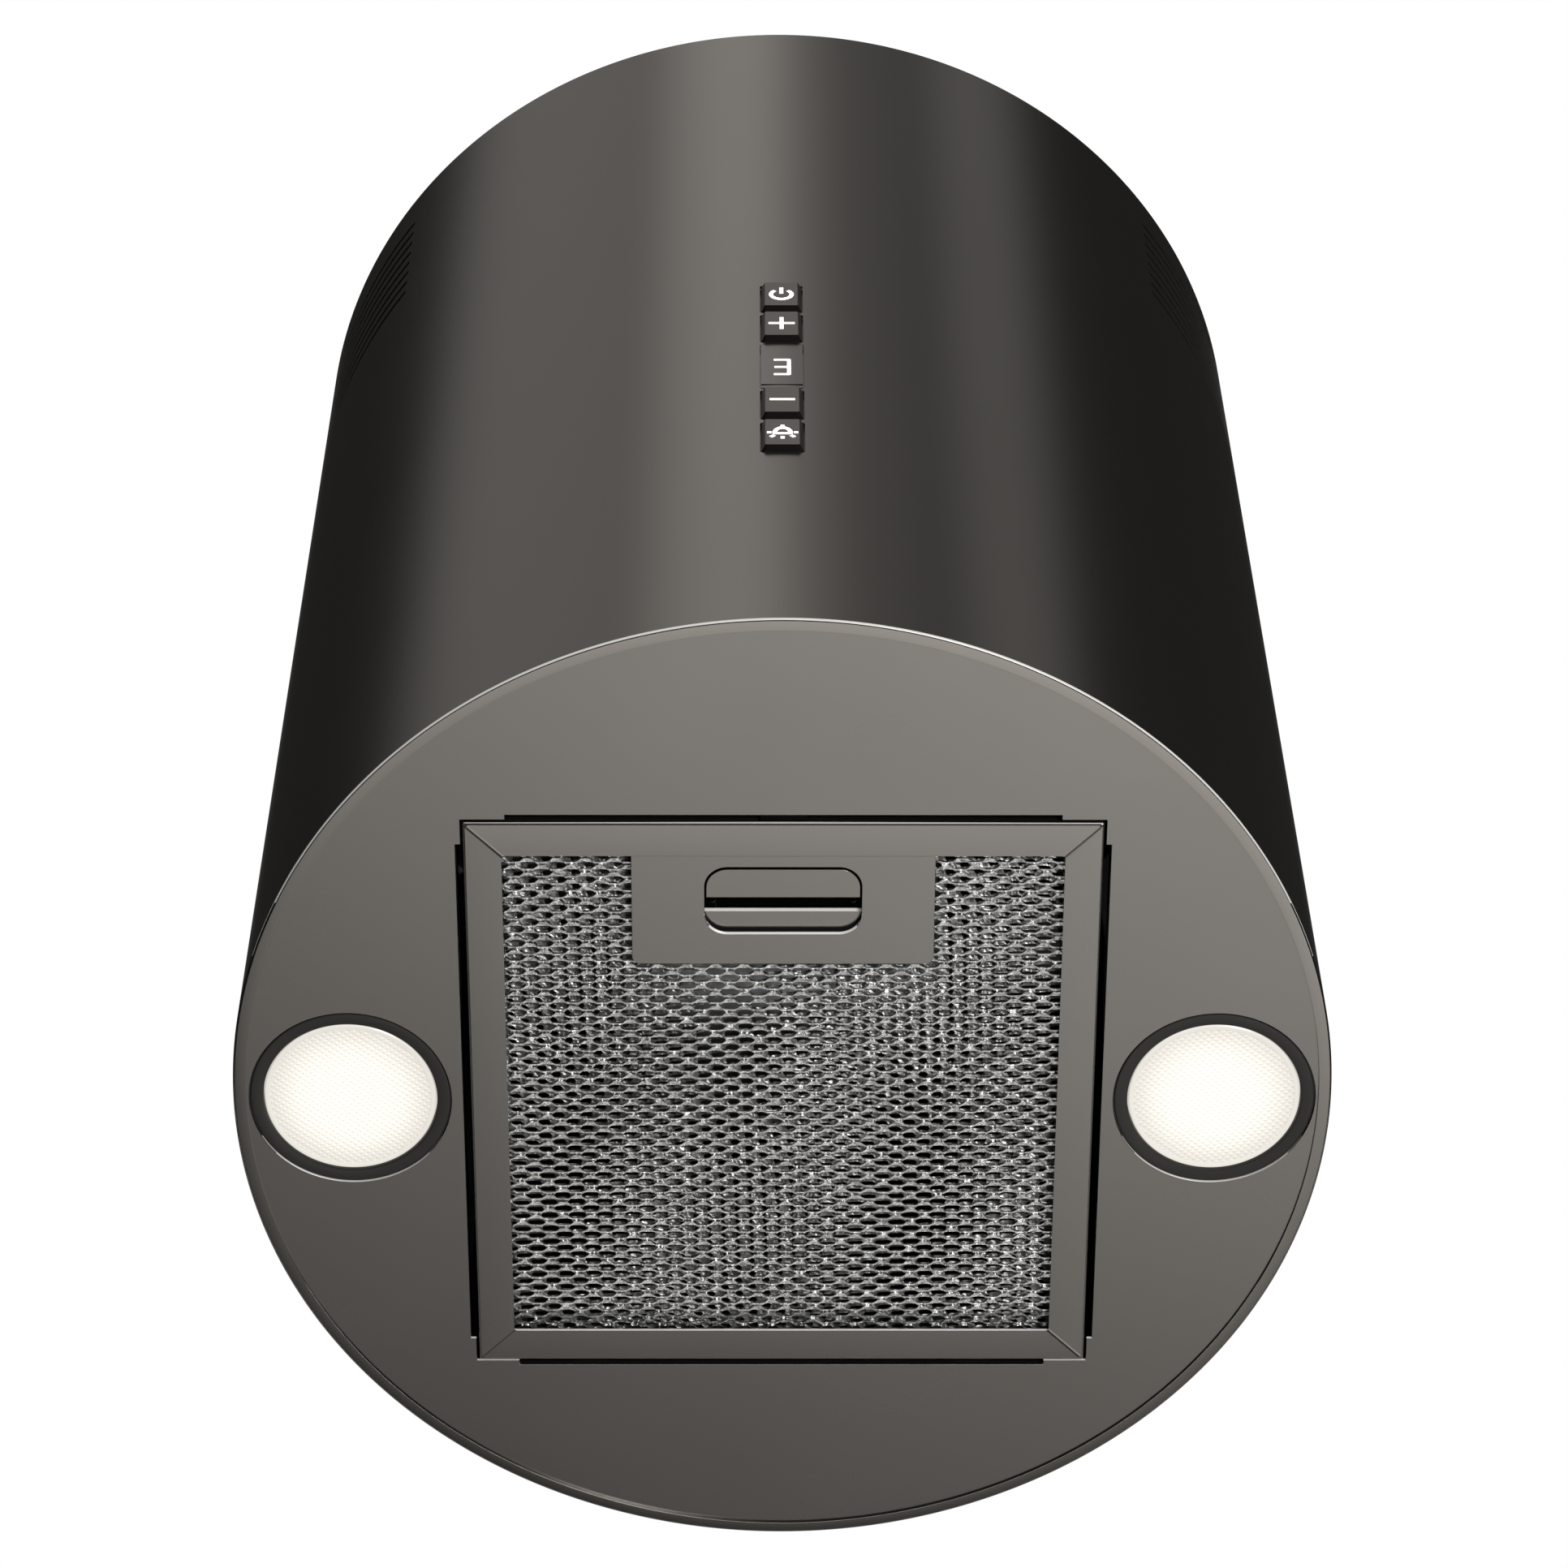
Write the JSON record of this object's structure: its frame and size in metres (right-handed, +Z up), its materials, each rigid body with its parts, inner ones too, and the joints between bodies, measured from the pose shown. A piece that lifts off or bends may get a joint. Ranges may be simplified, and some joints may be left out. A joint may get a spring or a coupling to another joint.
{
  "type": "island range hood",
  "caption": "Ceiling-hung cylindrical extractor hood with round lamps, a hinged mesh grease filter, a key column with display and side outlet slots.",
  "frame": {"origin": "centre of the ceiling plate's top face, in the plane of the ceiling", "axes": "+Z up along the tube's axis, -Y towards the front with the keys, +X to the right seen from the front"},
  "size_m": [0.39, 0.3937, 0.508],
  "materials": {
    "tube_metal": "satin graphite lacquer",
    "panel_metal": "satin graphite lacquer",
    "filter_metal": "satin graphite lacquer",
    "mesh_aluminium": "bright expanded metal",
    "latch_metal": "satin graphite lacquer",
    "spring_steel": "bright",
    "galvanised": "galvanised",
    "frame_steel": "zinc plated",
    "fastener_steel": "zinc plated",
    "dark_screw": "black oxide",
    "shaft_steel": "ground",
    "rotor_metal": "cast",
    "stator_steel": "laminated",
    "copper": "enamelled wire",
    "motor_shell": "satin",
    "bush_rubber": "matt",
    "impeller_plastic": "matt",
    "collar_plastic": "matt",
    "flap_plastic": "matt",
    "box_plastic": "matt",
    "carrier_plastic": "matt",
    "board_green": "solder mask",
    "terminal_plastic": "gloss",
    "gland_plastic": "matt",
    "cable_jacket": "matt",
    "switch_plastic": "gloss",
    "display_plastic": "gloss",
    "window_plastic": "smoked satin",
    "button_plastic": "satin graphite",
    "bezel_plastic": "matt black",
    "lens_plastic": "frosted prismatic",
    "led_board": "white solder mask",
    "heat_sink": "die cast"
  },
  "bodies": {
    "hood": {"outer_tube": "tube_metal", "bottom_panel": "panel_metal", "panel_studs": "fastener_steel", "panel_nuts": "fastener_steel", "lower_ring": "frame_steel", "frame_rail_front_left": "frame_steel", "frame_rail_front_right": "frame_steel", "frame_rail_rear_left": "frame_steel", "frame_rail_rear_right": "frame_steel", "ceiling_plate": "frame_steel", "frame_screws": "fastener_steel", "tube_screws": "dark_screw", "blower_shelf": "galvanised", "scroll_left": "galvanised", "scroll_right": "galvanised", "motor_stator": "stator_steel", "motor_windings": "copper", "motor_cap_left": "motor_shell", "motor_cap_right": "motor_shell", "motor_bearings": "shaft_steel", "motor_bracket": "galvanised", "motor_bushes": "bush_rubber", "small_screws": "fastener_steel", "outlet_collar": "collar_plastic", "flap_pin": "shaft_steel", "electronics_box": "box_plastic", "electronics_lid": "box_plastic", "power_board": "board_green", "terminal_block": "terminal_plastic", "cable_gland": "gland_plastic", "wiring_harness": "cable_jacket", "control_carrier": "carrier_plastic", "control_board": "board_green", "tact_switches": "switch_plastic", "display_module": "display_plastic", "display_window": "window_plastic", "lamp_bezel_left": "bezel_plastic", "lamp_bezel_right": "bezel_plastic", "lamp_lens_left": "lens_plastic", "lamp_lens_right": "lens_plastic", "lamp_board_left": "led_board", "lamp_board_right": "led_board", "lamp_housing_left": "heat_sink", "lamp_housing_right": "heat_sink", "lamp_clips": "spring_steel"},
    "filter": {"filter_frame": "filter_metal", "filter_mesh_lower": "mesh_aluminium", "filter_mesh_upper": "mesh_aluminium", "filter_handle_plate": "filter_metal", "latch_springs": "spring_steel"},
    "latch": {"filter_latch": "latch_metal"},
    "impeller_group": {"impeller": "impeller_plastic", "motor_shaft": "shaft_steel", "motor_rotor": "rotor_metal"},
    "front_flap": {"flap_front": "flap_plastic"},
    "rear_flap": {"flap_rear": "flap_plastic"},
    "power_key": {"button_power": "button_plastic"},
    "plus_key": {"button_plus": "button_plastic"},
    "minus_key": {"button_minus": "button_plastic"},
    "light_key": {"button_light": "button_plastic"}
  },
  "joints": [
    {"name": "filter_tilt", "type": "hinge", "parent": "hood", "child": "filter", "pos_m": [0, 0.115, -0.5075], "axis": [1, 0, 0], "range_deg": [0, 75]},
    {"name": "latch_slide", "type": "slide", "parent": "filter", "child": "latch", "axis": [0, 1, 0], "range_m": [0, 0.0038], "stiffness_N_per_m": 400, "springref_m": -0.002, "deforming": ["latch_springs"]},
    {"name": "impeller_spin", "type": "hinge", "parent": "hood", "child": "impeller_group", "pos_m": [0, 0.04, -0.288], "axis": [-1, 0, 0], "continuous": true},
    {"name": "front_flap_swing", "type": "hinge", "parent": "hood", "child": "front_flap", "pos_m": [0, 0, -0.092], "axis": [-1, 0, 0], "range_deg": [0, 75]},
    {"name": "rear_flap_swing", "type": "hinge", "parent": "hood", "child": "rear_flap", "pos_m": [0, 0, -0.092], "axis": [1, 0, 0], "range_deg": [0, 75]},
    {"name": "power_press", "type": "slide", "parent": "hood", "child": "power_key", "axis": [0, 1, 0], "range_m": [0, 0.0012], "stiffness_N_per_m": 900, "springref_m": -0.0006},
    {"name": "plus_press", "type": "slide", "parent": "hood", "child": "plus_key", "axis": [0, 1, 0], "range_m": [0, 0.0012], "stiffness_N_per_m": 900, "springref_m": -0.0006},
    {"name": "minus_press", "type": "slide", "parent": "hood", "child": "minus_key", "axis": [0, 1, 0], "range_m": [0, 0.0012], "stiffness_N_per_m": 900, "springref_m": -0.0006},
    {"name": "light_press", "type": "slide", "parent": "hood", "child": "light_key", "axis": [0, 1, 0], "range_m": [0, 0.0012], "stiffness_N_per_m": 900, "springref_m": -0.0006}
  ]
}
